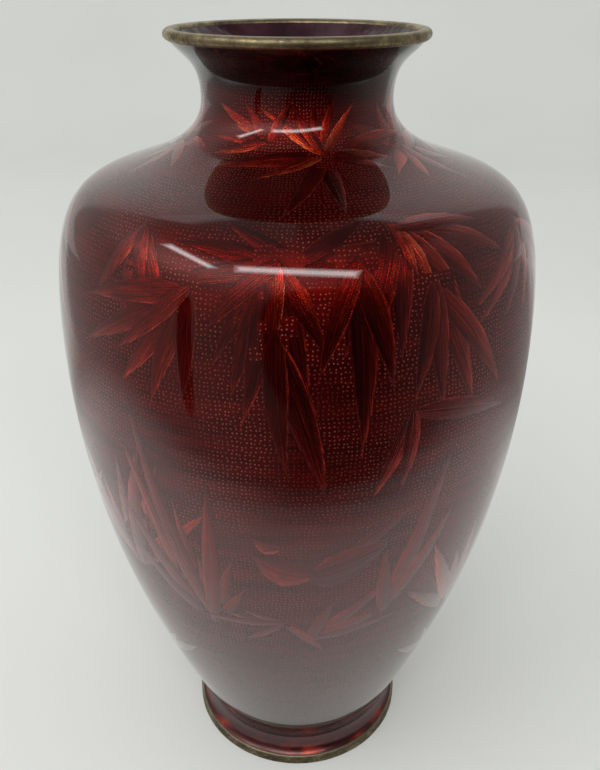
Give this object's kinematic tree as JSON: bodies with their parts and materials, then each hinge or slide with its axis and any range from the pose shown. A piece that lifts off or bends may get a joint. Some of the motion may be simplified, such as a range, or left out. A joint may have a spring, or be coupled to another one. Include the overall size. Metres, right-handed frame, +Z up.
{
  "type": "vase",
  "caption": "Broad-shouldered enamelled metal vase with a short flared neck, a metal-bound mouth and a low flared foot; holds flowers or stands as an ornament.",
  "frame": {"origin": "centre of the foot's resting plane", "axes": "+Z up along the vase's axis; the vase is round, and +X is the right-hand side seen from the front, -Y"},
  "size_m": [0.1454, 0.1454, 0.25],
  "materials": {
    "copper": "spun copper, hidden under enamel",
    "solder": "silver solder, hidden under enamel",
    "foil": "embossed silver foil, hidden under clear enamel",
    "red_enamel": "clear red enamel over embossed foil, glossy",
    "inner_enamel": "opaque dark maroon enamel, glossy",
    "base_enamel": "opaque dark enamel, satin",
    "rim_metal": "silvered brass worn and tarnished to olive",
    "foot_metal": "silvered brass, dull grey-brown tarnish"
  },
  "bodies": {
    "root": {"copper_body": "copper", "copper_foot": "copper", "foot_solder": "solder", "body_foil": "foil", "foot_foil": "foil", "body_enamel": "red_enamel", "foot_enamel": "red_enamel", "inner_enamel": "inner_enamel", "base_enamel": "base_enamel", "rim_ring": "rim_metal", "foot_ring": "foot_metal"}
  },
  "joints": []
}
